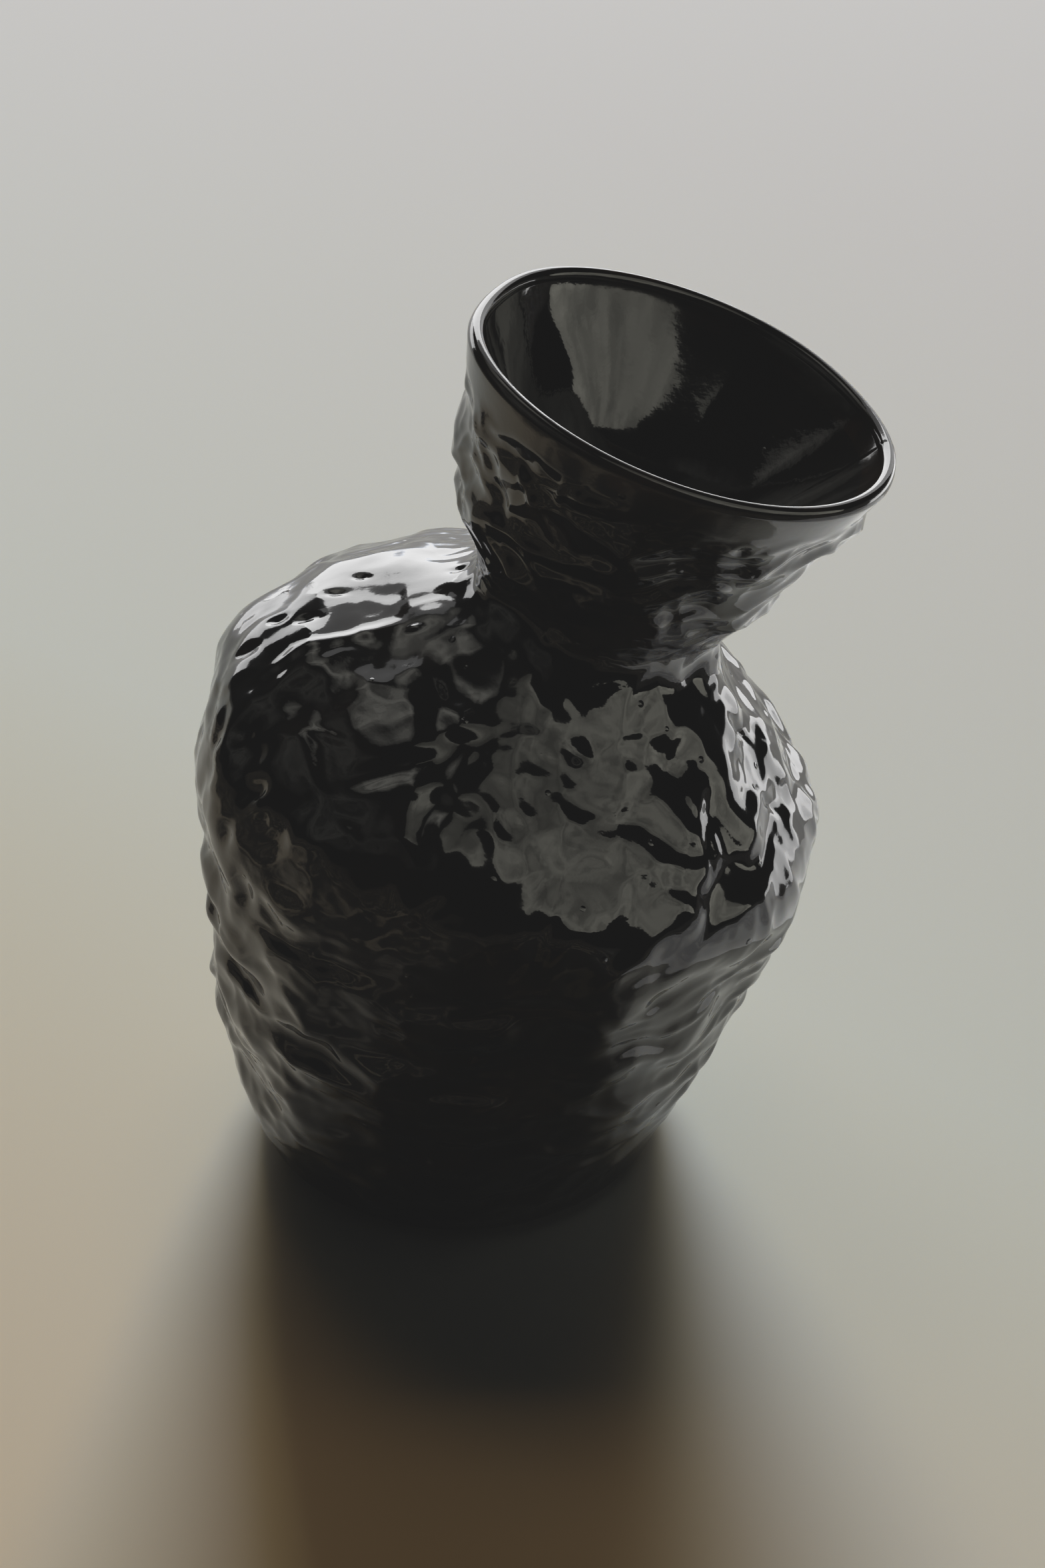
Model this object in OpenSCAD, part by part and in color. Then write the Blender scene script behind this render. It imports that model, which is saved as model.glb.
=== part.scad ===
// Leaning black-glazed clay pot: a flat base, a swelling body, a flared neck and a rounded lip.
// Z is up, the origin is the centre of the foot, and the pot leans towards +X.
// Every wall is a loft: rings on a leaning spine, each with a height, radius, lean and tilt.

/* [Foot and base] */
// Radius of the dry foot that the pot stands on
foot_r = 54; // [48:0.5:56]
// Height of the dry foot below the slab's wider edge
foot_h = 4; // [2:0.5:5]
// Height of the slab's upper face, which is the floor inside the pot
slab_h = 10; // [8:0.5:14]

/* [Body] */
// Outer radius where the wall leaves the slab
base_r = 61; // [59:0.5:64]
// Height of the low ring
low_z = 43; // [38:1:50]
// Outer radius of the low ring
low_r = 71.6; // [68:0.1:75]
// Height of the middle ring
mid_z = 83; // [75:1:90]
// Outer radius of the middle ring
mid_r = 78.5; // [76:0.1:82]
// Height of the widest ring, at the shoulder's edge
belly_z = 125.5; // [120:0.5:130]
// Outer radius of the widest ring
belly_r = 84; // [80:0.5:86]
// Height of the ring where the shoulder turns over
shoulder_z = 146.6; // [142:0.1:150]
// Outer radius of the ring where the shoulder turns over
shoulder_r = 68; // [66:0.5:72]

/* [Neck] */
// Height of the waist, the narrowest ring
waist_z = 171.5; // [168:0.5:176]
// Outer radius of the waist
waist_r = 34.4; // [32:0.1:38]
// Height of the ring half way up the flare
flare_z = 195; // [192:1:202]
// Outer radius of the ring half way up the flare
flare_r = 42.4; // [40:0.1:45]
// Height of the mouth's widest ring
mouth_z = 233.8; // [230:0.2:245]
// Outer radius of the mouth's widest ring
mouth_r = 55.8; // [52:0.1:60]
// Rise of the rounded lip above the mouth's widest ring
lip_rise = 2.8; // [2:0.1:4]

/* [Lean] */
// Lean of the low, middle and widest rings along X
body_lean = [3.1, 8.7, 15];
// Lean of the shoulder ring and the waist along X
shoulder_lean = [21, 34.7];
// Lean of the flare and the mouth along X
neck_lean = [40.3, 54.4];
// Tilt of the middle and widest rings, in degrees
body_tilt = [2.5, 13];
// Tilt of every ring from the shoulder to the mouth, in degrees
neck_tilt = 17.8; // [12:0.1:20]

/* [Wall and relief] */
// Thickness of the smooth clay wall under the coat
wall_t = 5.5; // [4:0.5:7]
// Thickness of wall and coat half way up the flare, where the inside narrows faster than the outside
throat_t = 16; // [10:0.5:17]
// Thickness at the lip
lip_t = 4.2; // [3.5:0.1:5.5]
// Mean thickness of the textured coat on the body and the neck
coat_t = 3.4; // [3:0.1:4]
// Most that a lump stands out from, or a dent sinks below, the mean surface
relief_h = 2.4; // [0:0.1:2.6]
// Width of a lump
lump_w = 17; // [12:1:30]
// Height of the plain band that is left below the lip, as a share of the flare
plain_band = 0.15; // [0.13:0.01:0.4]

/* [Hidden] */
GLAZE = "#15151a";
CLAY = "#6e5a48";
SIDES = 80;
ANGLES = [for (i = [0:SIDES - 1]) i * 360 / SIDES];
// Thickness of wall and coat on the body
body_t = wall_t + coat_t;
// Rings of the finished outer surface: height, radius, lean, tilt, thickness of wall and coat
RINGS = [
    [slab_h, base_r, 0, 0, body_t],
    [low_z, low_r, body_lean[0], 0, body_t],
    [mid_z, mid_r, body_lean[1], body_tilt[0], body_t],
    [belly_z, belly_r, body_lean[2], body_tilt[1], body_t],
    [shoulder_z, shoulder_r, shoulder_lean[0], neck_tilt, body_t],
    [waist_z, waist_r, shoulder_lean[1], neck_tilt, body_t],
    [flare_z, flare_r, neck_lean[0], neck_tilt, throat_t],
    [mouth_z, mouth_r, neck_lean[1], neck_tilt, lip_t]
];
// Places along the spine, counted in rings from the slab
FOOT_END = -0.14;
SEAM_BELLY = 3;
SEAM_WAIST = 5;
LIP_SEAM = 6.9;
TOP = len(RINGS) - 1;
PLAIN_START = TOP - plain_band;
FEATHER = 0.25;
// The slab's edge stays a hair inside the coat that hangs around it
slab_r = base_r - coat_t - 0.1;
under_r = slab_r + 0.1;
edge_z = foot_h + 0.6;

// --- The leaning surface ---

// Cubic through b and c, with a and d on either side
function cubic(a, b, c, d, t) =
    0.5 * (2 * b + (c - a) * t + (2 * a - 5 * b + 4 * c - d) * t * t
    + (3 * b - a - 3 * c + d) * t * t * t);

// Height, radius, lean, tilt and thickness at place u on the spine
function ring_at(u) =
    let (i = min(max(floor(u), 0), TOP - 1))
    let (before = i > 0 ? RINGS[i - 1] : 2 * RINGS[0] - RINGS[1])
    let (after = i < TOP - 1 ? RINGS[i + 2] : 2 * RINGS[TOP] - RINGS[TOP - 1])
    cubic(before, RINGS[i], RINGS[i + 1], after, u - i);

// Direction from a ring's centre to its edge at angle a
function spoke(ring, a) = [cos(a) * cos(ring[3]), sin(a), -cos(a) * sin(ring[3])];

// Point on the mean outer surface
function skin(u, a) =
    let (ring = ring_at(u))
    [ring[2], 0, ring[0]] + ring[1] * spoke(ring, a);

function unit(v) = v / norm(v);

// Outward normal of the mean outer surface
function outward(u, a) =
    unit(cross(skin(u, a + 1) - skin(u, a - 1), skin(u + 0.02, a) - skin(u - 0.02, a)));

// Flat at both ends of the wall, square to the surface in between
function depth_way(u, a) =
    let (w = min(max(min(u, TOP - u), 0), 1))
    let (s = w * w * (3 - 2 * w))
    unit((1 - s) * spoke(ring_at(u), a) + s * outward(u, a));

// The textured coat thins to nothing where the plain band starts
function coat_depth(u) = coat_t * min(max((PLAIN_START - u) / FEATHER, 0), 1);

// Outer and inner faces of the smooth clay wall
function wall_out(u, a) = skin(u, a) - coat_depth(u) * depth_way(u, a);
function wall_in(u, a) = skin(u, a) - ring_at(u)[4] * depth_way(u, a);

// --- Lumps ---

// A fixed pseudo-random value from 0 to 1 for each corner of a cubic grid
function grain(c) =
    let (s = sin(c[0] * 127.1 + c[1] * 311.7 + c[2] * 74.7) * 4375.85)
    s - floor(s);

function mix(a, b, t) = a + (b - a) * t;

// Smooth noise from -1 to 1
function noise(p) =
    let (c = [floor(p[0]), floor(p[1]), floor(p[2])])
    let (f = p - c)
    let (s = [for (v = f) v * v * (3 - 2 * v)])
    let (low = mix(mix(grain(c), grain(c + [1, 0, 0]), s[0]),
        mix(grain(c + [0, 1, 0]), grain(c + [1, 1, 0]), s[0]), s[1]))
    let (high = mix(mix(grain(c + [0, 0, 1]), grain(c + [1, 0, 1]), s[0]),
        mix(grain(c + [0, 1, 1]), grain(c + [1, 1, 1]), s[0]), s[1]))
    2 * mix(low, high, s[2]) - 1;

// Relief dies away into the foot's edge and into the plain band
function relief_share(u) =
    min(1, max(0, (u - FOOT_END) / 0.3), max(0, (PLAIN_START - u) / FEATHER));

function relief(u, a) =
    let (p = skin(u, a) / lump_w)
    relief_h * relief_share(u) * (0.65 * noise(p) + 0.35 * noise(2 * p + [9, 5, 3]));

function coat_out(u, a) = skin(u, a) + relief(u, a) * outward(u, a);

// --- Meshes ---

function steps(from, to, n) = [for (i = [0:n]) from + (to - from) * i / n];

// A closed band: rows of points around the pot, each joined to the next and the last to the first
module band(rows) {
    n = len(rows);
    points = [for (row = rows) each row];
    faces = [
        for (k = [0:n - 1], i = [0:SIDES - 1])
            let (j = (i + 1) % SIDES)
            let (here = k * SIDES, next = ((k + 1) % n) * SIDES)
            each [[here + i, next + j, here + j], [here + i, next + i, next + j]]
    ];
    polyhedron(points, faces);
}

function row_out(u) = [for (a = ANGLES) wall_out(u, a)];
function row_in(u) = [for (a = ANGLES) wall_in(u, a)];
function row_coat(u) = [for (a = ANGLES) coat_out(u, a)];
function row_flat(r, z) = [for (a = ANGLES) [r * cos(a), r * sin(a), z]];
function reversed(list) = [for (i = [len(list) - 1:-1:0]) list[i]];

WALL_STEPS_LOW = steps(0, SEAM_BELLY, 9);
WALL_STEPS_SHOULDER = steps(SEAM_BELLY, SEAM_WAIST, 7);
WALL_STEPS_NECK = concat(steps(SEAM_WAIST, PLAIN_START, 6), [LIP_SEAM]);

// A stretch of the smooth wall between two seams
module wall(places) {
    color(GLAZE)
        band(concat(
            [for (u = places) row_out(u)],
            [for (u = reversed(places)) row_in(u)]
        ));
}

// --- Pieces of the pot ---

// Flat slab with a stepped, unglazed foot
module base_slab() {
    color(CLAY) {
        cylinder(r = foot_r, h = foot_h, $fn = 96);
        translate([0, 0, foot_h])
            cylinder(r = slab_r, h = slab_h - foot_h, $fn = 96);
    }
}

// From the slab up to the widest ring
module lower_wall() {
    wall(WALL_STEPS_LOW);
}

// From the widest ring in to the waist
module shoulder_dome() {
    wall(WALL_STEPS_SHOULDER);
}

// From the waist out to the lip's seam
module neck_cone() {
    wall(WALL_STEPS_NECK);
}

// Point on the lip's round top: turn runs from 0 at the outer edge to 180 at the inner edge
function lip_point(turn, a) =
    let (ring = ring_at(TOP))
    let (axis = [sin(ring[3]), 0, cos(ring[3])])
    let (r = ring[1] - lip_t / 2 + lip_t / 2 * cos(turn))
    [ring[2], 0, ring[0]] + r * spoke(ring, a) + lip_rise * sin(turn) * axis;

// Rounded coil that finishes the mouth
module lip_coil() {
    color(GLAZE)
        band(concat(
            [row_out(LIP_SEAM)],
            [for (turn = [0:22.5:180]) [for (a = ANGLES) lip_point(turn, a)]],
            [row_in(LIP_SEAM)]
        ));
}

// Lumpy coat over the body, from the foot's edge to the waist
module relief_coat_body() {
    color(GLAZE)
        band(concat(
            [row_flat((base_r + under_r) / 2 - 0.2, edge_z - 0.3)],
            [for (u = concat([FOOT_END], steps(0, SEAM_BELLY, 21))) row_coat(u)],
            [for (u = steps(SEAM_BELLY + 0.14, SEAM_WAIST, 14)) row_coat(u)],
            [for (u = reversed(WALL_STEPS_SHOULDER)) row_out(u)],
            [for (i = [8:-1:0]) row_out(WALL_STEPS_LOW[i])],
            [row_flat(under_r, edge_z)]
        ));
}

// Lumpy coat over the neck, from the waist to the plain band
module relief_coat_neck() {
    color(GLAZE)
        band(concat(
            [for (u = steps(SEAM_WAIST, PLAIN_START, 12)) row_coat(u)],
            [for (i = [5:-1:0]) row_out(WALL_STEPS_NECK[i])]
        ));
}

base_slab();
lower_wall();
shoulder_dome();
neck_cone();
lip_coil();
relief_coat_body();
relief_coat_neck();
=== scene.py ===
"""Looks for the leaning black-glazed pot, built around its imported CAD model."""
import math

import bpy
import numpy as np
from mathutils import Matrix, Vector


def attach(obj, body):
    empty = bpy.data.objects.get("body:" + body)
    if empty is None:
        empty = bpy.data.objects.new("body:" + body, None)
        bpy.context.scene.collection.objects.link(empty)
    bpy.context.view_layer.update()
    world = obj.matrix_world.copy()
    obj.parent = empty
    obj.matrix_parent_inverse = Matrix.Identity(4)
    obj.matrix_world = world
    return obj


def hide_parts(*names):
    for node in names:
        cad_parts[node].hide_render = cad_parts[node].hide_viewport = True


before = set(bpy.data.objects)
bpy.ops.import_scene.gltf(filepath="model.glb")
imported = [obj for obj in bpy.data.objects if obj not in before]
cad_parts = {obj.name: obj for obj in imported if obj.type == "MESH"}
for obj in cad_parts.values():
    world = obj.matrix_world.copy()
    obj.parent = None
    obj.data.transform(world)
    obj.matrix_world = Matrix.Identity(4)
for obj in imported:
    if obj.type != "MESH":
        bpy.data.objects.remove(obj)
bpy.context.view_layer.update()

MM = 0.001

# --- The leaning surface, with the numbers that the CAD design uses, in millimetres ---

# Rings of the mean outer surface: height, radius, lean along X, tilt in degrees, wall thickness.
# A place u on the surface is counted along them: 0 at the lowest ring, TOP at the lip's.
RINGS = np.array([
    (10.0, 61.0, 0.0, 0.0, 8.9),
    (43.0, 71.6, 3.1, 0.0, 8.9),
    (83.0, 78.5, 8.7, 2.5, 8.9),
    (125.5, 84.0, 15.0, 13.0, 8.9),
    (146.6, 68.0, 21.0, 17.8, 8.9),
    (171.5, 34.4, 34.7, 17.8, 8.9),
    (195.0, 42.4, 40.3, 17.8, 16.0),
    (233.8, 55.8, 54.4, 17.8, 4.2),
])
TOP = len(RINGS) - 1
FOOT_END = -0.14
SEAM_BELLY = 3.0
SEAM_WAIST = 5.0
LIP_SEAM = 6.9
# The coat ends below a plain band under the lip, and thins out over a stretch before it
PLAIN_START = TOP - 0.15
FEATHER = 0.25
COAT = 3.4
# The lip's thickness, and how far it rises over the last ring
LIP = 4.2
LIP_RISE = 2.8
# Radius and height of the two rows that turn the body under, into the foot
FOOT_ROLL = [(57.6, 4.6), (58.5, 4.3)]
# Where the mouth is a little flat: angle and half width in degrees, and depth in millimetres
FLATS = [(158, 22, 1.8), (28, 20, 1.0)]
# A swelling of the neck's inner wall below the lip, in the same terms; the CAD has none
INNER_SWELLING = (138, 24, 2.6)
# Small step along u, or around in radians, for measuring slopes
SLOPE_STEP = 0.01


def bell(x):
    """A soft bump, 1 at 0 and nearly 0 beyond 2."""
    return np.exp(-x * x)


def at_side(angle, middle, half_width):
    """1 where an angle in radians is middle, in degrees, and less on both sides of it."""
    return bell((np.degrees(angle) % 360 - middle) / half_width)


def smooth(x):
    """From 0 to 1 as x goes from 0 to 1, flat at both ends."""
    t = np.clip(x, 0, 1)
    return t * t * (3 - 2 * t)


def ring_at(u):
    """Height, radius, lean, tilt and thickness at places u, by the cubic through the rings."""
    u = np.asarray(u, float)
    i = np.clip(np.floor(u).astype(int), 0, TOP - 1)
    ends = np.vstack([2 * RINGS[0] - RINGS[1], RINGS, 2 * RINGS[TOP] - RINGS[TOP - 1]])
    a, b, c, d = ends[i], ends[i + 1], ends[i + 2], ends[i + 3]
    t = (u - i)[..., None]
    return 0.5 * (2 * b + (c - a) * t + (2 * a - 5 * b + 4 * c - d) * t ** 2
                  + (3 * b - a - 3 * c + d) * t ** 3)


def spoke(tilt, angle):
    """Direction from a ring's centre to its edge."""
    tilt = np.radians(tilt)
    return np.stack([np.cos(angle) * np.cos(tilt), np.sin(angle), -np.cos(angle) * np.sin(tilt)], -1)


def out_of_round(u, angle):
    """How far the hand-made mouth strays from a circle."""
    flats = sum(depth * at_side(angle, middle, half_width) for middle, half_width, depth in FLATS)
    return -flats * smooth((u - 6.2) / 0.8)


def skin(u, angle):
    """Mean outer surface at places u and angles in radians."""
    u = np.asarray(u, float)
    ring = ring_at(u)
    centre = np.stack([ring[..., 2], np.zeros_like(ring[..., 0]), ring[..., 0]], -1)
    radius = ring[..., 1] + out_of_round(u, angle)
    return centre + radius[..., None] * spoke(ring[..., 3], angle)


def unit(v):
    return v / np.linalg.norm(v, axis=-1, keepdims=True)


def outward(u, angle):
    """Outward normal of the mean surface."""
    around = skin(u, angle + SLOPE_STEP) - skin(u, angle - SLOPE_STEP)
    along = skin(u + SLOPE_STEP, angle) - skin(u - SLOPE_STEP, angle)
    return unit(np.cross(around, along))


def depth_way(u, angle):
    """Direction of the wall's thickness: along the ring at both ends, square to the wall between."""
    s = smooth(np.minimum(u, TOP - u))[..., None]
    return unit((1 - s) * spoke(ring_at(u)[..., 3], angle) + s * outward(u, angle))


def coat_depth(u):
    """Thickness of the coat, which lies between the mean surface and the smooth wall."""
    return COAT * np.clip((PLAIN_START - u) / FEATHER, 0, 1)


def wall_out(u, angle):
    """Smooth outer surface of the clay wall, under the coat."""
    return skin(u, angle) - coat_depth(u)[..., None] * depth_way(u, angle)


def wall_in(u, angle):
    """Inner surface of the neck, a little uneven on the left below the lip."""
    middle, half_width, rise = INNER_SWELLING
    swelling = rise * at_side(angle, middle, half_width) * smooth((LIP_SEAM - u) / 0.5)
    return skin(u, angle) - (ring_at(u)[..., 4] + swelling)[..., None] * depth_way(u, angle)


# --- Lumps, dents and tool marks ---

def grain(c):
    """A fixed pseudo-random value from 0 to 1 for each corner of a cubic grid."""
    s = np.sin(np.radians(c[..., 0] * 127.1 + c[..., 1] * 311.7 + c[..., 2] * 74.7)) * 4375.85
    return s - np.floor(s)


def noise(p):
    """Smooth noise from -1 to 1."""
    c = np.floor(p)
    f = p - c
    s = f * f * f * (f * (6 * f - 15) + 10)
    total = 0.0
    for corner in np.ndindex(2, 2, 2):
        weight = np.prod(np.where(corner, s, 1 - s), -1)
        total = total + weight * grain(c + corner)
    return 2 * total - 1


def facets(p, softness=9.0):
    """Shallow bowls that meet in soft ridges, from about -0.3 in a bowl up to about 0.3."""
    c = np.floor(p)
    total = 0.0
    for step in np.ndindex(3, 3, 3):
        cell = c + np.array(step) - 1
        jitter = np.stack([grain(cell + 17.0), grain(cell + 53.0), grain(cell + 91.0)], -1)
        d2 = np.sum((cell + 0.1 + 0.8 * jitter - p) ** 2, -1)
        total = total + np.exp(-softness * d2)
    return -np.log(total) / softness - 0.3


# Marks made by hand: place u, angle in degrees, half length, half width, turn from level in
# degrees, and rise in millimetres (a negative rise is a dent)
SHOULDER_MARKS = [
    # Two gouges on the front
    (4.0, 233, 12, 3.2, 50, -1.8), (3.95, 245, 8, 3.5, -85, -1.8),
    # Small lens-shaped dents on the smooth back of the left side
    (3.9, 178, 3, 1.6, 73, -1.0), (4.1, 182, 3, 1.6, 73, -1.0), (4.35, 167, 2, 1.2, 73, -0.8),
    (4.25, 174, 3, 1.5, 80, -0.9), (4.9, 169, 3, 1.6, 80, -1.0), (3.6, 183, 4, 2.2, 73, -1.2),
    # A ridge up the left side, and two thin ones near it
    (4.2, 194, 17, 2.2, 85, 1.1), (3.9, 217, 6, 1.0, 24, 0.7), (4.6, 199, 2, 1.0, 77, 0.6),
    # Hollows on the right of the front
    (4.5, 300, 7, 4, 90, -1.2), (4.1, 299, 9, 4, -27, -1.3), (3.7, 299, 5, 3, -15, -1.2),
    (4.55, 270, 3, 2.5, 0, -1.5),
    # A swelling at the front of the waist
    (4.97, 264, 16, 8, 0, 2.6),
    # Marks in the bright right side
    (5.08, 319, 5, 4, 0, -2.2), (4.5, 341, 5, 1.8, -55, -1.4), (4.0, 338, 4, 2, -50, -1.3),
]
BELLY_MARKS = [
    # Thumb pits down the left side
    (3.3, 202, 4, 3, 60, -2.0), (3.3, 207, 5, 3, 60, -2.2), (3.05, 211, 5.5, 3, 60, -2.2),
    (3.15, 213, 3, 2, 60, -1.5), (3.0, 217, 3, 2, 60, -1.5), (2.95, 221, 5, 3.5, 60, -2.0),
    (3.1, 197, 4, 3, 60, -1.6), (2.75, 209, 5, 3, 70, -1.8), (2.5, 214, 5, 3, 75, -1.6),
]
NECK_MARKS = [
    # A swelling under the left end of the lip, and a hollow below it
    (6.72, 203, 9, 6, 80, 1.6), (6.25, 200, 9, 8, 0, -1.6),
    # A pit with creases on the left
    (6.76, 222, 4.5, 4, 16, -2.0), (6.8, 228, 4.5, 1.5, -32, -1.2), (6.55, 228, 9, 1.5, -46, 1.0),
    (6.7, 237, 3, 1.2, 79, 0.8), (6.8, 243, 2.5, 1.0, 64, 0.7), (6.35, 216, 6, 2.5, -60, -1.4),
    # Lens-shaped dents and a fold on the right
    (6.57, 279, 5, 2.6, 25, -1.3), (6.73, 288, 2, 1.6, 25, -1.0), (6.6, 293, 4.5, 2.4, 5, -1.4),
    (6.43, 284, 8, 2, 22, -1.2), (6.23, 291, 5, 3, 35, -1.5), (6.85, 294, 12, 2.5, 33, 1.1),
]
MARKS = SHOULDER_MARKS + BELLY_MARKS + NECK_MARKS


def mark_height(p, mark):
    """Height of one mark at the points p."""
    u, angle, half_length, half_width, turn, rise = mark
    angle, turn = math.radians(angle), math.radians(turn)
    middle = skin(u, angle)
    level = unit(skin(u, angle + SLOPE_STEP) - middle)
    up = unit(skin(u + SLOPE_STEP, angle) - middle)
    d = p - middle
    along = d @ (level * math.cos(turn) + up * math.sin(turn))
    across = d @ (up * math.cos(turn) - level * math.sin(turn))
    near = np.sum(d * d, -1) < (3 * half_length) ** 2
    return near * rise * bell(along / half_length) * bell(across / half_width)


def relief(u, angle, p):
    """Height of the lumps over the mean surface, in millimetres."""
    # Shares of the lumps of the lower body, the neck and the shoulder between them
    lower = smooth((SEAM_BELLY + 0.1 - u) / 0.9)
    neck = smooth((u - SEAM_WAIST + 0.1) / 0.4)
    shoulder = 1 - lower - neck
    # Points pushed about so that no lump is regular, then squeezed into lumps that lie level
    warp = 3.0 * np.stack([noise(p / 14 + 5), noise(p / 14 + 25), noise(p / 14 + 45)], -1)
    q = p + warp
    level = q * np.array([0.6, 0.6, 1.4])
    streaks = q * np.array([0.4, 0.4, 2.0])
    # The shoulder is smoother on its left
    calm = 1 - 0.75 * at_side(angle, 165, 32) * bell((u - 4.3) / 0.8)
    broad = noise(q / 19)
    lumps = noise(q / 10.5 + 7)
    height = (
        shoulder * (1.5 * broad + calm * (1.2 * lumps + 1.3 * facets(q / 13) + 0.7 * facets(q / 6.5)))
        + neck * (1.4 * broad + 0.8 * lumps + 3.0 * facets(level / 9.5 + 3) + 0.8 * facets(q / 6))
        + lower * (1.5 * broad + 2.0 * noise(level / 13 + 31) + 2.4 * facets(level / 12)
                   + 0.4 * lumps + 0.8 * facets(q / 7) + 0.45 * noise(streaks / 8 + 11))
    )
    marks = sum((mark_height(p, mark) for mark in MARKS), 0.0)
    # Both ends are smooth, and no dent goes through the coat
    above_foot = smooth((u - FOOT_END) / 0.3)
    below_band = smooth((PLAIN_START - u) / 0.12)
    height = above_foot * below_band * (height + marks)
    deepest = 0.9 * coat_depth(u) + 0.01
    return np.where(height < 0, deepest * np.tanh(height / deepest), height)


# --- Meshes ---

SIDES = 600
ROW_STEP = 1.0
LIP_ROWS = 25


def add_object(name, data):
    obj = bpy.data.objects.new(name, data)
    bpy.context.scene.collection.objects.link(obj)
    return obj


def coat_out(u, angle):
    """Outer surface of the coat, with its lumps."""
    p = skin(u, angle)
    return p + relief(u, angle, p)[..., None] * outward(u, angle)


def grid(places, angles, face):
    """Points of a surface, in a row for each place."""
    u, a = np.meshgrid(np.asarray(places, float), angles, indexing="ij")
    return face(u, a)


def lip(turns, angles):
    """Rows over the lip's round top, from the outer edge (0) to the inner edge (pi)."""
    turn, a = np.meshgrid(turns, angles, indexing="ij")
    tilt = RINGS[TOP, 3]
    axis = np.array([math.sin(math.radians(tilt)), 0, math.cos(math.radians(tilt))])
    inset = LIP / 2 * (1 - np.cos(turn))
    rise = LIP_RISE * np.sin(turn)
    return skin(np.full_like(a, TOP), a) - inset[..., None] * spoke(tilt, a) + rise[..., None] * axis


def flat_row(radius, height, angles):
    """One level row around the upright axis."""
    row = np.stack([radius * np.cos(angles), radius * np.sin(angles), np.full_like(angles, height)], -1)
    return row[None]


def row_normals(rows):
    """Normals of a stack of closed rows, by central differences."""
    around = np.roll(rows, -1, 1) - np.roll(rows, 1, 1)
    along = np.empty_like(rows)
    along[1:-1] = rows[2:] - rows[:-2]
    along[0] = rows[1] - rows[0]
    along[-1] = rows[-1] - rows[-2]
    return unit(np.cross(around, along))


def band_mesh(name, parts):
    """A closed band of rows around the pot; parts are (rows, normals) in order, and the last
    row joins the first."""
    rows = np.concatenate([r for r, n in parts])
    normals = np.concatenate([n for r, n in parts])
    count, sides = rows.shape[:2]
    k, i = np.meshgrid(np.arange(count), np.arange(sides), indexing="ij")
    j = (i + 1) % sides
    here, after = k * sides, (k + 1) % count * sides
    faces = np.stack([here + i, here + j, after + j, after + i], -1).reshape(-1, 4)
    mesh = bpy.data.meshes.new(name)
    mesh.vertices.add(count * sides)
    mesh.vertices.foreach_set("co", (rows * MM).astype(np.float32).ravel())
    mesh.loops.add(faces.size)
    mesh.loops.foreach_set("vertex_index", faces.astype(np.int32).ravel())
    mesh.polygons.add(len(faces))
    mesh.polygons.foreach_set("loop_start", np.arange(0, faces.size, 4, dtype=np.int32))
    mesh.update(calc_edges=True)
    mesh.validate()
    mesh.polygons.foreach_set("use_smooth", np.ones(len(faces), bool))
    mesh.normals_split_custom_set_from_vertices(normals.reshape(-1, 3).tolist())
    return add_object(name, mesh)


def reach(first, last, step):
    """Places from first to last, about one every step millimetres down the pot's front."""
    fine = np.linspace(first, last, 400)
    line = skin(fine, np.full_like(fine, -math.pi / 2))
    run = np.concatenate([[0], np.cumsum(np.linalg.norm(np.diff(line, axis=0), axis=1))])
    count = max(2, int(round(run[-1] / step)) + 1)
    return np.interp(np.linspace(0, run[-1], count), run, fine)


def whole_surface(angles):
    """Every visible row from the foot's edge over the lip to the waist inside, with its normals,
    cut into the stretches that the pieces show."""
    foot_roll = [flat_row(radius, height, angles) for radius, height in FOOT_ROLL]
    body = grid(reach(FOOT_END, SEAM_BELLY, ROW_STEP), angles, coat_out)
    shoulder = grid(reach(SEAM_BELLY, SEAM_WAIST, ROW_STEP), angles, coat_out)
    neck = grid(reach(SEAM_WAIST, PLAIN_START, ROW_STEP), angles, coat_out)
    plain = grid(reach(PLAIN_START, LIP_SEAM, ROW_STEP), angles, wall_out)
    below_lip = (LIP_SEAM + TOP) / 2
    over = np.concatenate([
        grid([LIP_SEAM, below_lip], angles, wall_out),
        lip(np.linspace(0, math.pi, LIP_ROWS), angles),
        grid([below_lip, LIP_SEAM], angles, wall_in),
    ])
    inner = grid(reach(LIP_SEAM, SEAM_WAIST, 2 * ROW_STEP), angles, wall_in)
    stretches = {"body": np.concatenate(foot_roll + [body]), "shoulder": shoulder, "neck": neck,
                 "plain": plain, "lip": over, "lining": inner}
    # Each stretch but the first starts with the last row of the one before
    joined = [rows if name == "body" else rows[1:] for name, rows in stretches.items()]
    normals = row_normals(np.concatenate(joined))
    cut = {}
    start = 0
    for name, rows in stretches.items():
        cut[name] = (rows, normals[start:start + len(rows)])
        start += len(rows) - 1
    return cut


def hidden(first, last, count, angles, face):
    """Rows of an unseen side of a piece, with their normals."""
    rows = grid(np.linspace(first, last, count), angles, face)
    return rows, row_normals(rows)


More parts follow.
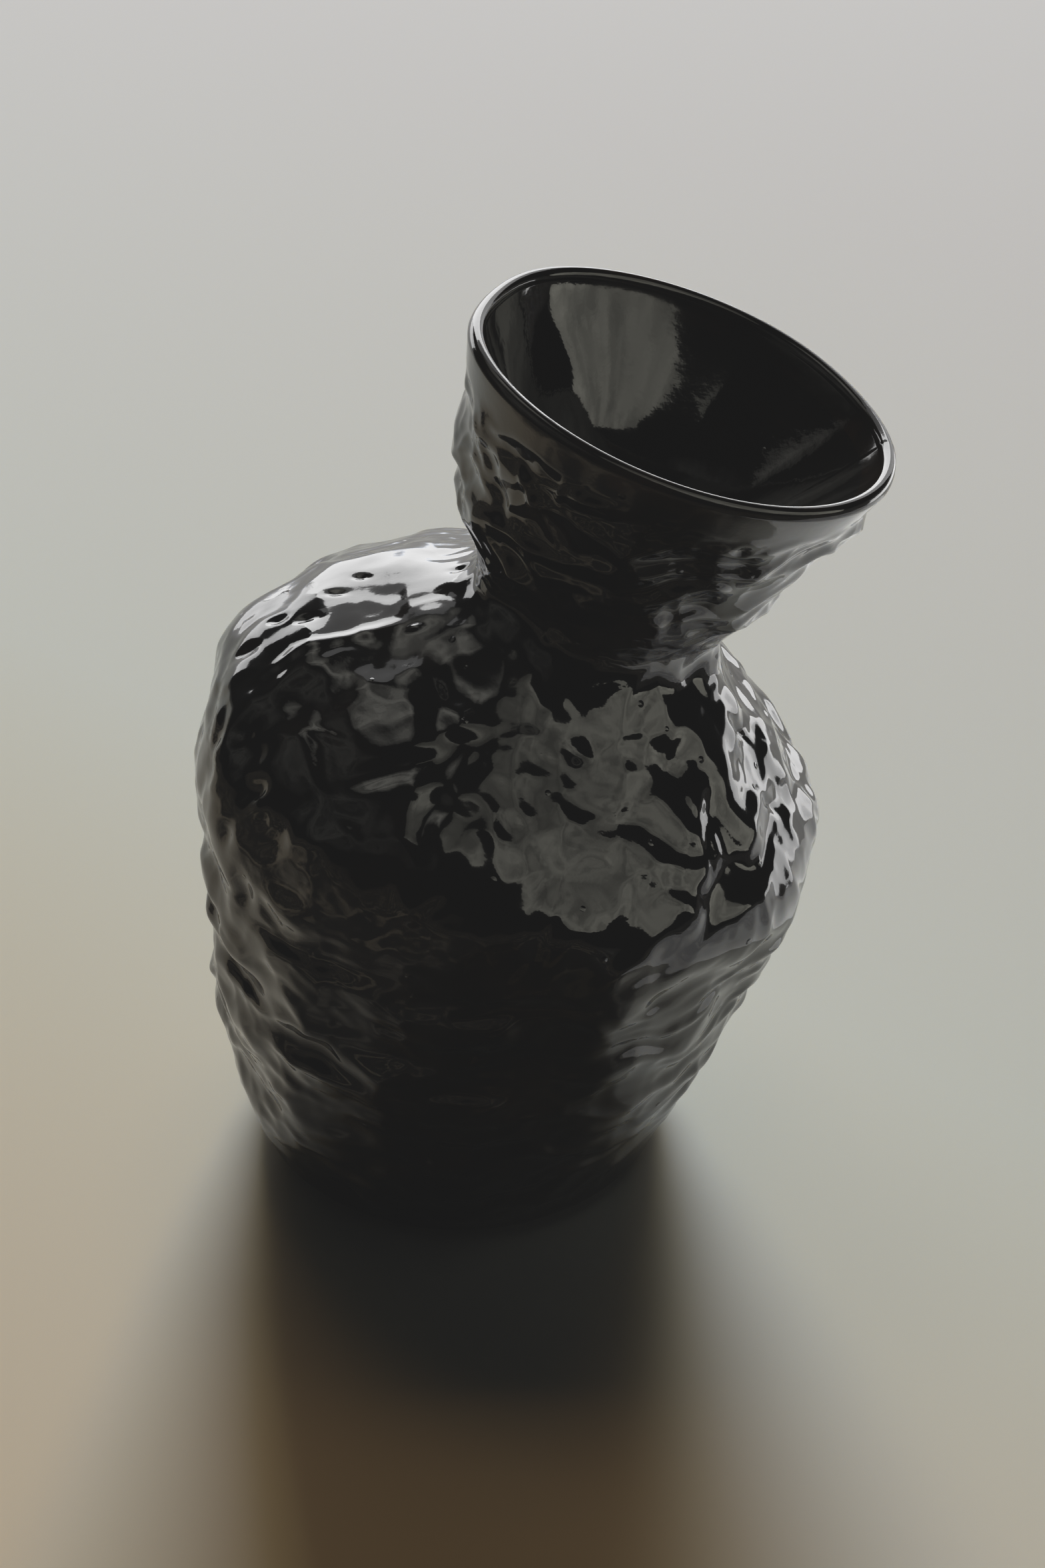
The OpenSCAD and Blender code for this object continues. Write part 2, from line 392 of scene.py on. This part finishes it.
def make_pot():
    """Each shown piece, with the CAD node that it stands for and its material slot."""
    angles = 2 * math.pi * np.arange(SIDES) / SIDES
    cut = whole_surface(angles)
    # The hidden rows stop just short of the coat's end, where they would touch its face
    coat_end = PLAIN_START - 0.03
    under_body = hidden(SEAM_BELLY, 0, 10, angles, wall_out)
    under_shoulder = hidden(SEAM_WAIST, SEAM_BELLY, 8, angles, wall_out)
    under_neck = hidden(coat_end, SEAM_WAIST, 8, angles, wall_out)
    back_neck = hidden(SEAM_WAIST, coat_end, 8, angles, wall_out)
    return [
        (band_mesh("glazed_relief_body", [cut["body"], under_body]), "relief_coat_body",
         "black_glaze_relief"),
        (band_mesh("glazed_relief_shoulder", [cut["shoulder"], under_shoulder]), "relief_coat_body",
         "black_glaze_relief"),
        (band_mesh("glazed_relief_neck", [cut["neck"], under_neck]), "relief_coat_neck",
         "black_glaze_relief"),
        (band_mesh("glazed_neck_cone", [back_neck, cut["plain"], cut["lining"]]), "neck_cone",
         "black_glaze"),
        (band_mesh("glazed_lip", [cut["lip"]]), "lip_coil", "black_glaze_edge"),
    ]


# --- Shader nodes ---

def new_material(name):
    material = bpy.data.materials.new(name)
    material.use_nodes = True
    return material, material.node_tree


def clouds(tree, scale, detail=2.0):
    """Cloudy noise from 0 to 1, fixed to the object."""
    place = tree.nodes.new("ShaderNodeTexCoord")
    cloud = tree.nodes.new("ShaderNodeTexNoise")
    cloud.inputs["Scale"].default_value = scale
    cloud.inputs["Detail"].default_value = detail
    tree.links.new(place.outputs["Object"], cloud.inputs["Vector"])
    return cloud.outputs["Fac"]


def spread(tree, value, low, high, first=0.0, last=1.0, interpolation="LINEAR"):
    """From first to last as a value goes from low to high, and level beyond them."""
    span = tree.nodes.new("ShaderNodeMapRange")
    span.interpolation_type = interpolation
    span.inputs["From Min"].default_value = low
    span.inputs["From Max"].default_value = high
    span.inputs["To Min"].default_value = first
    span.inputs["To Max"].default_value = last
    tree.links.new(value, span.inputs["Value"])
    return span.outputs["Result"]


def fade(tree, value, low, high):
    """From 0 to 1 as a value goes from low to high, flat at both ends."""
    return spread(tree, value, low, high, interpolation="SMOOTHSTEP")


def combine(tree, operation, first, second):
    """Sum, product or the like of two values, each a node's output or a number."""
    node = tree.nodes.new("ShaderNodeMath")
    node.operation = operation
    for socket, value in zip(node.inputs, (first, second)):
        if isinstance(value, float):
            socket.default_value = value
        else:
            tree.links.new(value, socket)
    return node.outputs[0]


def bump(tree, height, strength, depth, below=None):
    """Normals of a bumpy surface, depth in metres, on top of the bumps below it."""
    node = tree.nodes.new("ShaderNodeBump")
    node.inputs["Strength"].default_value = strength
    node.inputs["Distance"].default_value = depth
    tree.links.new(height, node.inputs["Height"])
    if below is not None:
        tree.links.new(below, node.inputs["Normal"])
    return node.outputs["Normal"]


# --- Materials of the pot ---

GLAZE_IOR = 1.6
# Scales of the glaze's patterns, finer as the number grows
HAZE_SCALE = 28
BROWN_SCALE = 45
PIMPLE_SCALE = 75
RIPPLE_SCALE = 240
# Roughness where the glaze is clearest and where it is haziest
CLEAR, HAZY = 0.035, 0.13
# Heights in metres
PIMPLE_RISE = 0.0003
RIPPLE_RISE = 0.0002


def glaze(name, colour, wear_and_thin_shade):
    """Thick gloss glaze: near black, a little brown in clouds, with pimples and faint ripples."""
    material, tree = new_material(name)
    shader = tree.nodes["Principled BSDF"]
    shader.inputs["IOR"].default_value = GLAZE_IOR
    tone = tree.nodes.new("ShaderNodeMix")
    tone.data_type = "RGBA"
    tone.inputs["A"].default_value = (*colour, 1)
    tone.inputs["B"].default_value = (*wear_and_thin_shade, 1)
    brown = spread(tree, clouds(tree, BROWN_SCALE, 4), 0.5, 0.75)
    tree.links.new(brown, tone.inputs["Factor"])
    tree.links.new(tone.outputs["Result"], shader.inputs["Base Color"])
    haze = spread(tree, clouds(tree, HAZE_SCALE, 5), 0.35, 0.75, CLEAR, HAZY)
    tree.links.new(haze, shader.inputs["Roughness"])
    place = tree.nodes.new("ShaderNodeTexCoord")
    spots = tree.nodes.new("ShaderNodeTexVoronoi")
    spots.inputs["Scale"].default_value = PIMPLE_SCALE
    tree.links.new(place.outputs["Object"], spots.inputs["Vector"])
    pimples = spread(tree, spots.outputs["Distance"], 0.03, 0.075, 1, 0)
    ripples = bump(tree, clouds(tree, RIPPLE_SCALE, 3), 0.25, RIPPLE_RISE)
    tree.links.new(bump(tree, pimples, 0.7, PIMPLE_RISE, ripples), shader.inputs["Normal"])
    return material


def bare_clay():
    material, tree = new_material("bare_clay")
    shader = tree.nodes["Principled BSDF"]
    shader.inputs["Base Color"].default_value = (0.1, 0.08, 0.06, 1)
    shader.inputs["Roughness"].default_value = 0.9
    return material


# --- Studio, in metres and degrees ---

POT_HEART = Vector((0.01, 0, 0.14))
FLOOR_SIZE = 60
WINDOW_DISTANCE = 9.0
GLOW_DISTANCE = 1.6
DAY_AZIMUTH = 1

# What lights the floor, nearly white in the middle and warmer to the sides: half width, lowest
# and highest elevation, and radiance in red, green and blue
DAYLIGHT = [
    ("day_heart", 9, -5, 33, (8.4, 11.2, 16.8)),
    ("day_core", 13, -5, 33, (13.0, 10.3, 5.8)),
    ("day_low", 22, -5, 15, (2.0, 1.1, 0.5)),
    ("day_high", 14, 66, 78, (1.8, 1.05, 0.45)),
    ("day_wide", 40, 50, 60, (0.15, 0.1, 0.0)),
]

# What the glaze reflects, one bright window with dim ones above, left and right of it: azimuth,
# half width, lowest and highest elevation, and radiance
SHINE = [
    ("shine_window", -1, 19, -5, 34, 4.6),
    ("shine_upper", -1, 24, 33, 52, 0.6),
    ("shine_left", -31.5, 11.5, -5, 16, 2.8),
    ("shine_right", 30, 12, -5, 30, 1.3),
]

# Dim walls that the glaze reflects: corners around a middle one, which comes first, each with
# its azimuth, elevation and radiance
RIGHT_WALL = [
    (122, 42, 0.7), (98, 27, 0.7), (87, 18, 0.9), (84, 5, 1.3), (88, 0, 1.3), (101, 5, 1.3),
    (115, 13, 1.1), (129, 20, 1.0), (142, 27, 0.9), (152, 34, 0.9), (158, 46, 1.1),
    (172, 57, 1.0), (202, 62, 0.4), (190, 72, 0.2), (135, 74, 0.3),
]
LEFT_CEILING = [
    (-50, 62, 0.95), (-28, 40, 0.08), (-28, 66, 0.08), (-60, 80, 0.08), (-130, 72, 0.08),
    (-80, 58, 0.08), (-52, 40, 0.08),
]
LEFT_WALL = [
    (-95, 36, 0.16), (-60, 20, 0.0), (-52, 40, 0.0), (-80, 54, 0.0), (-140, 52, 0.0),
    (-165, 40, 0.0), (-130, 20, 0.0), (-95, 8, 0.0),
]
RIGHT_WALL_COLOUR = (1, 0.98, 0.84)
LEFT_WALL_COLOUR = (1, 0.98, 0.88)

# Painted shade in reflections: a black sheet on the floor where it lies in the pot's shadow in front
# and beyond the light at the sides; each pair is where its edge starts and where the sheet is whole
SHADE_SHEET_Z = 0.002
SHADE_SHEET_COLOUR = (0.06, 0.06, 0.055)
SHADE_SHEET_FRONT = (-0.03, -0.14)
SHADE_SHEET_FRONT_SIDES = (0.36, 0.26)
SHADE_SHEET_OUTER = (0.32, 0.43)
# How much the front edge slants, and how much the outer ones open away from the camera
FRONT_SLANT = 0.25
OUTER_SLANT = -0.8
# How much thinner the painted shade gets in its uneven patches
SHADE_SHEET_GAPS = 0.6

# The floor's colours, with their places from the near left to the far right; the darker brown at the
# near left is painted shade
FLOOR_TINTS_AND_SHADE = [(0.0, (0.79, 0.73, 0.56)), (0.35, (0.81, 0.90, 0.89)), (0.9, (0.79, 0.84, 0.87))]
FLOOR_TINT_AND_SHADE_WAY = (0.8, 1, 0)
FLOOR_TINT_AND_SHADE_RANGE = (-0.3, 0.9)

ROOM = (0.003, 0.003, 0.003)
BACKDROP = (0.62, 0.61, 0.58)

# Faded film: how bright each brightness of light is shown
FILM_CURVE = [(0.0, 0.0098), (0.1, 0.109), (0.3, 0.307), (0.6, 0.6), (1.0, 0.76), (2.5, 0.9)]

CAMERA_PLACE = (0, -0.5778, 0.5404)
CAMERA_PAN, CAMERA_DOWN, CAMERA_ROLL = -1.64, 36.37, 0.76
LENS_MM, SENSOR_MM = 60.9, 36


def toward(azimuth, elevation, distance):
    """Point seen from the pot at an azimuth (0 away from the camera, 90 to the right)."""
    az, el = math.radians(azimuth), math.radians(elevation)
    way = Vector((math.sin(az) * math.cos(el), math.cos(az) * math.cos(el), math.sin(el)))
    return POT_HEART + distance * way


def panel(name, azimuth, elevation, distance, width, height, radiance, colour=(1, 1, 1)):
    """A soft rectangular light that faces the pot and that the camera doesn't see."""
    light = bpy.data.lights.new(name, "AREA")
    light.shape = "RECTANGLE"
    light.size = width
    light.size_y = height
    light.energy = radiance * width * height * math.pi
    light.color = colour
    obj = add_object(name, light)
    obj.location = toward(azimuth, elevation, distance)
    obj.rotation_euler = (POT_HEART - obj.location).to_track_quat("-Z", "Y").to_euler()
    obj.visible_camera = False
    return obj


def window(name, azimuth, half_width, low, high, radiance, colour=(1, 1, 1)):
    """A part of the bright window behind the pot, from its angles seen from the pot."""
    width = 2 * WINDOW_DISTANCE * math.tan(math.radians(half_width))
    height = 2 * WINDOW_DISTANCE * math.tan(math.radians((high - low) / 2))
    return panel(name, azimuth, (low + high) / 2, WINDOW_DISTANCE, width, height, radiance, colour)


def only_reflected(obj):
    """Hide an object from the camera, and let it light and shade nothing but reflections."""
    obj.visible_camera = False
    obj.visible_diffuse = False
    obj.visible_shadow = False


def glow_material(name, colour, unevenness):
    """Light as strong as the mesh's glow at each point, uneven like a draped wall."""
    material, tree = new_material(name)
    tree.nodes.clear()
    level = tree.nodes.new("ShaderNodeAttribute")
    level.attribute_name = "glow"
    emission = tree.nodes.new("ShaderNodeEmission")
    emission.inputs["Color"].default_value = (*colour, 1)
    output = tree.nodes.new("ShaderNodeOutputMaterial")
    folds = spread(tree, clouds(tree, 4.0, 3.0), 0.35, 0.65, 1 - unevenness, 1 + unevenness)
    strength = combine(tree, "MULTIPLY", folds, level.outputs["Fac"])
    tree.links.new(strength, emission.inputs["Strength"])
    tree.links.new(emission.outputs["Emission"], output.inputs["Surface"])
    return material


def wall_glow(name, corners, colour, unevenness, steps=10):
    """A dim many-cornered wall that only reflections show, split into steps from its middle."""
    points = [toward(azimuth, elevation, GLOW_DISTANCE) for azimuth, elevation, level in corners]
    levels = [level for azimuth, elevation, level in corners]
    verts, glow, faces = [], [], []
    rim = len(points) - 1
    for k in range(rim):
        first = len(verts)
        here = 1 + k
        after = 1 + (k + 1) % rim
        for i in range(steps + 1):
            for j in range(i + 1):
                ends = ((0, (steps - i) / steps), (here, (i - j) / steps), (after, j / steps))
                verts.append(sum((share * points[end] for end, share in ends), Vector()))
                glow.append(sum(share * levels[end] for end, share in ends))
        for i in range(steps):
            row, below = first + i * (i + 1) // 2, first + (i + 1) * (i + 2) // 2
            faces += [(row + j, below + j, below + j + 1) for j in range(i + 1)]
            faces += [(row + j, below + j + 1, row + j + 1) for j in range(i)]
    mesh = bpy.data.meshes.new(name)
    mesh.from_pydata(verts, [], faces)
    mesh.attributes.new("glow", "FLOAT", "POINT").data.foreach_set("value", glow)
    mesh.materials.append(glow_material(name, colour, unevenness))
    obj = add_object(name, mesh)
    only_reflected(obj)


def make_shade_sheet():
    """Painted shade: a black sheet around the lit part of the floor, standing in for the floor's
    shadowed and unlit parts, which only reflections show.
    """
    material, tree = new_material("shade_sheet")
    tree.nodes.clear()
    place = tree.nodes.new("ShaderNodeTexCoord")
    apart = tree.nodes.new("ShaderNodeSeparateXYZ")
    tree.links.new(place.outputs["Object"], apart.inputs[0])
    x, y = apart.outputs["X"], apart.outputs["Y"]
    aside = combine(tree, "ABSOLUTE", x, 0.0)
    forward = combine(tree, "ADD", combine(tree, "MULTIPLY", x, FRONT_SLANT), y)
    front = combine(tree, "MULTIPLY", fade(tree, forward, *SHADE_SHEET_FRONT),
                    fade(tree, aside, *SHADE_SHEET_FRONT_SIDES))
    beyond = combine(tree, "ADD", combine(tree, "MULTIPLY", y, OUTER_SLANT), aside)
    whole = combine(tree, "MAXIMUM", front, fade(tree, beyond, *SHADE_SHEET_OUTER))
    # Patches where the painted shade is thinner
    wear_and_thin_shade = combine(tree, "MULTIPLY", fade(tree, clouds(tree, 14.0), 0.48, 0.68), SHADE_SHEET_GAPS)
    clear = tree.nodes.new("ShaderNodeBsdfTransparent")
    dark_sheet = tree.nodes.new("ShaderNodeBsdfDiffuse")
    dark_sheet.inputs["Color"].default_value = (*SHADE_SHEET_COLOUR, 1)
    mix = tree.nodes.new("ShaderNodeMixShader")
    output = tree.nodes.new("ShaderNodeOutputMaterial")
    tree.links.new(combine(tree, "SUBTRACT", whole, wear_and_thin_shade), mix.inputs["Fac"])
    tree.links.new(clear.outputs[0], mix.inputs[1])
    tree.links.new(dark_sheet.outputs[0], mix.inputs[2])
    tree.links.new(mix.outputs[0], output.inputs["Surface"])
    bpy.ops.mesh.primitive_plane_add(size=FLOOR_SIZE, location=(0, 0, SHADE_SHEET_Z))
    shade_sheet = bpy.context.object
    shade_sheet.name = "shade_sheet"
    shade_sheet.data.materials.append(material)
    only_reflected(shade_sheet)


def floor_material():
    """Pale matt sheet, with painted shade that makes it darker and browner toward the near left."""
    material, tree = new_material("floor")
    shader = tree.nodes["Principled BSDF"]
    place = tree.nodes.new("ShaderNodeTexCoord")
    along = tree.nodes.new("ShaderNodeVectorMath")
    along.operation = "DOT_PRODUCT"
    along.inputs[1].default_value = FLOOR_TINT_AND_SHADE_WAY
    tree.links.new(place.outputs["Object"], along.inputs[0])
    # Painted shade: this ramp darkens and browns the floor toward the near left
    tint_and_shade = tree.nodes.new("ShaderNodeValToRGB")
    stops = tint_and_shade.color_ramp.elements
    stops.remove(stops[1])
    stops[0].color = (*FLOOR_TINTS_AND_SHADE[0][1], 1)
    for position, colour in FLOOR_TINTS_AND_SHADE[1:]:
        stops.new(position).color = (*colour, 1)
    tree.links.new(spread(tree, along.outputs["Value"], *FLOOR_TINT_AND_SHADE_RANGE), tint_and_shade.inputs["Fac"])
    tree.links.new(tint_and_shade.outputs["Color"], shader.inputs["Base Color"])
    shader.inputs["Roughness"].default_value = 0.8
    shader.inputs["Specular IOR Level"].default_value = 0.2
    return material


def make_floor():
    bpy.ops.mesh.primitive_plane_add(size=FLOOR_SIZE)
    floor = bpy.context.object
    floor.name = "floor"
    floor.data.materials.append(floor_material())


def make_world():
    """A black room to light and reflect, and a pale backdrop that only the camera sees."""
    world = bpy.data.worlds.new("studio")
    bpy.context.scene.world = world
    world.use_nodes = True
    nodes, links = world.node_tree.nodes, world.node_tree.links
    room = nodes["Background"]
    room.inputs["Color"].default_value = (*ROOM, 1)
    backdrop = nodes.new("ShaderNodeBackground")
    backdrop.inputs["Color"].default_value = (*BACKDROP, 1)
    ray = nodes.new("ShaderNodeLightPath")
    mix = nodes.new("ShaderNodeMixShader")
    links.new(ray.outputs["Is Camera Ray"], mix.inputs["Fac"])
    links.new(room.outputs[0], mix.inputs[1])
    links.new(backdrop.outputs[0], mix.inputs[2])
    links.new(mix.outputs[0], nodes["World Output"].inputs["Surface"])


def make_lights():
    for name, half_width, low, high, colour in DAYLIGHT:
        window(name, DAY_AZIMUTH, half_width, low, high, 1.0, colour).visible_glossy = False
    for name, azimuth, half_width, low, high, radiance in SHINE:
        window(name, azimuth, half_width, low, high, radiance).visible_diffuse = False
    # A small card low at the right, close to the pot
    card = panel("right_card", azimuth=55, elevation=-7.5, distance=0.6, width=0.36, height=0.12,
                 radiance=2.6)
    card.visible_diffuse = False
    # A lit patch of floor at the right: it lies level and shines up
    patch = panel("right_floor_glow", azimuth=90, elevation=-19, distance=0.42, width=0.5,
                  height=0.5, radiance=0.5)
    patch.rotation_euler = (math.pi, 0, 0)
    patch.visible_diffuse = False
    wall_glow("right_wall", RIGHT_WALL, RIGHT_WALL_COLOUR, 0.3)
    wall_glow("left_ceiling", LEFT_CEILING, LEFT_WALL_COLOUR, 0.5)
    wall_glow("left_wall", LEFT_WALL, LEFT_WALL_COLOUR, 0.6)


def film_look():
    """Plain view with the faded black of film."""
    view = bpy.context.scene.view_settings
    view.view_transform = "Standard"
    view.use_curve_mapping = True
    curves = view.curve_mapping
    curves.extend = "EXTRAPOLATED"
    white = FILM_CURVE[-1][0]
    curves.white_level = (white, white, white)
    points = curves.curves[3].points
    points[0].location = FILM_CURVE[0]
    points[1].location = (1.0, FILM_CURVE[-1][1])
    for light, shown in FILM_CURVE[1:-1]:
        points.new(light / white, shown)
    curves.update()


def make_camera():
    data = bpy.data.cameras.new("camera")
    data.sensor_width = SENSOR_MM
    data.lens = LENS_MM
    camera = add_object("camera", data)
    camera.location = CAMERA_PLACE
    turn = (Matrix.Rotation(math.radians(CAMERA_PAN), 4, "Z")
            @ Matrix.Rotation(math.radians(90 - CAMERA_DOWN), 4, "X")
            @ Matrix.Rotation(math.radians(CAMERA_ROLL), 4, "Z"))
    camera.rotation_euler = turn.to_euler()
    bpy.context.scene.camera = camera


# --- The scene ---

make_camera()
make_world()
make_floor()
make_shade_sheet()
make_lights()
film_look()

# Each glaze's near-black colour, and the browner one of its clouds
finishes = {
    "black_glaze": glaze("black_glaze", (0.004, 0.004, 0.004), (0.008, 0.006, 0.004)),
    "black_glaze_relief": glaze("black_glaze_relief", (0.004, 0.004, 0.004), (0.012, 0.008, 0.005)),
    "black_glaze_edge": glaze("black_glaze_edge", (0.008, 0.006, 0.004), (0.04, 0.022, 0.012)),
    "bare_clay": bare_clay(),
}
for piece, node, slot in make_pot():
    piece.data.materials.append(finishes[slot])
    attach(piece, "root")
    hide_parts(node)
for node in ("lower_wall", "shoulder_dome"):
    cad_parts[node].material_slots[0].material = finishes["black_glaze"]
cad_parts["base_slab"].material_slots[0].material = finishes["bare_clay"]
